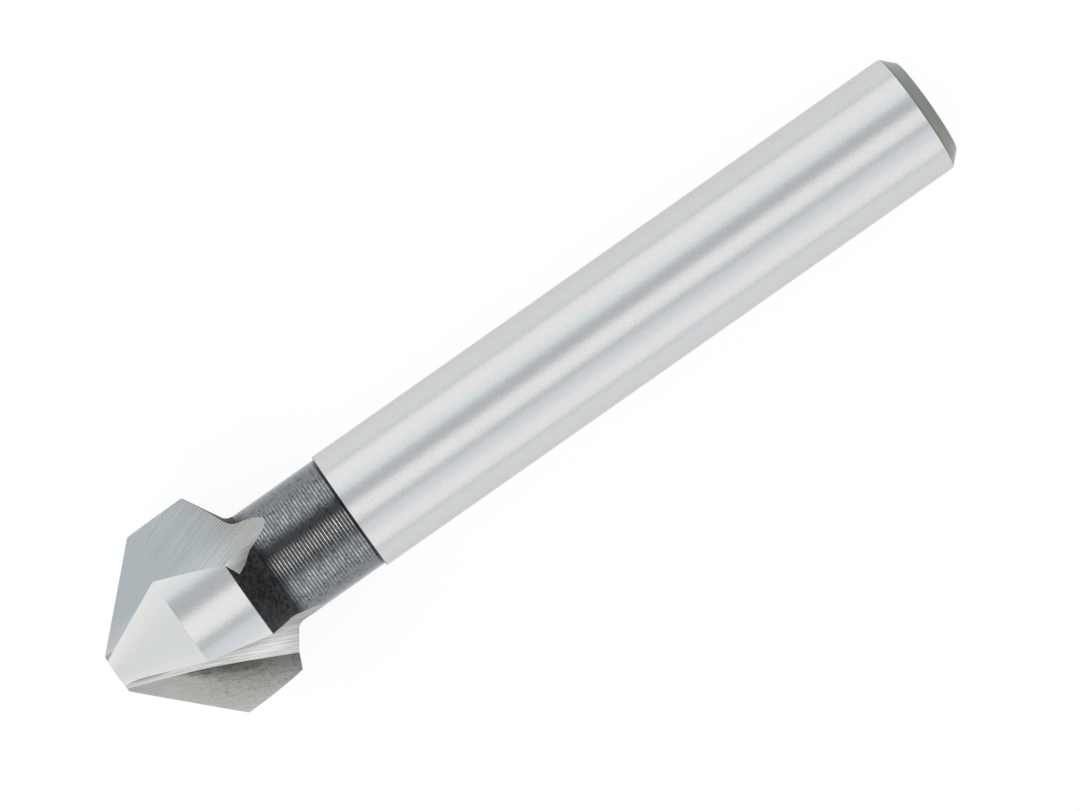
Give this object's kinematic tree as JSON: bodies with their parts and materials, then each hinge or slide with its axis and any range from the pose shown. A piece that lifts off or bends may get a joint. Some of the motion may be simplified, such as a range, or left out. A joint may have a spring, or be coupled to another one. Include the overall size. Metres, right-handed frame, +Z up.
{
  "type": "countersink bit",
  "caption": "Fluted ninety degree countersink bit in high-speed steel, with a conical nose, a short cylindrical land, a turned neck and a plain cylindrical shank, lying on its side.",
  "frame": {"origin": "centre of the part's footprint, on the surface it lies on", "axes": "+X along the tool from its tip towards its shank end, +Z up from the surface it lies on, +Y to the left when looking along +X"},
  "size_m": [0.0602, 0.013, 0.0122],
  "materials": {
    "tool_steel": "ground high-speed steel, with a black oxide neck and back of the head"
  },
  "bodies": {
    "root": {"countersink_bit": "tool_steel"}
  },
  "joints": []
}
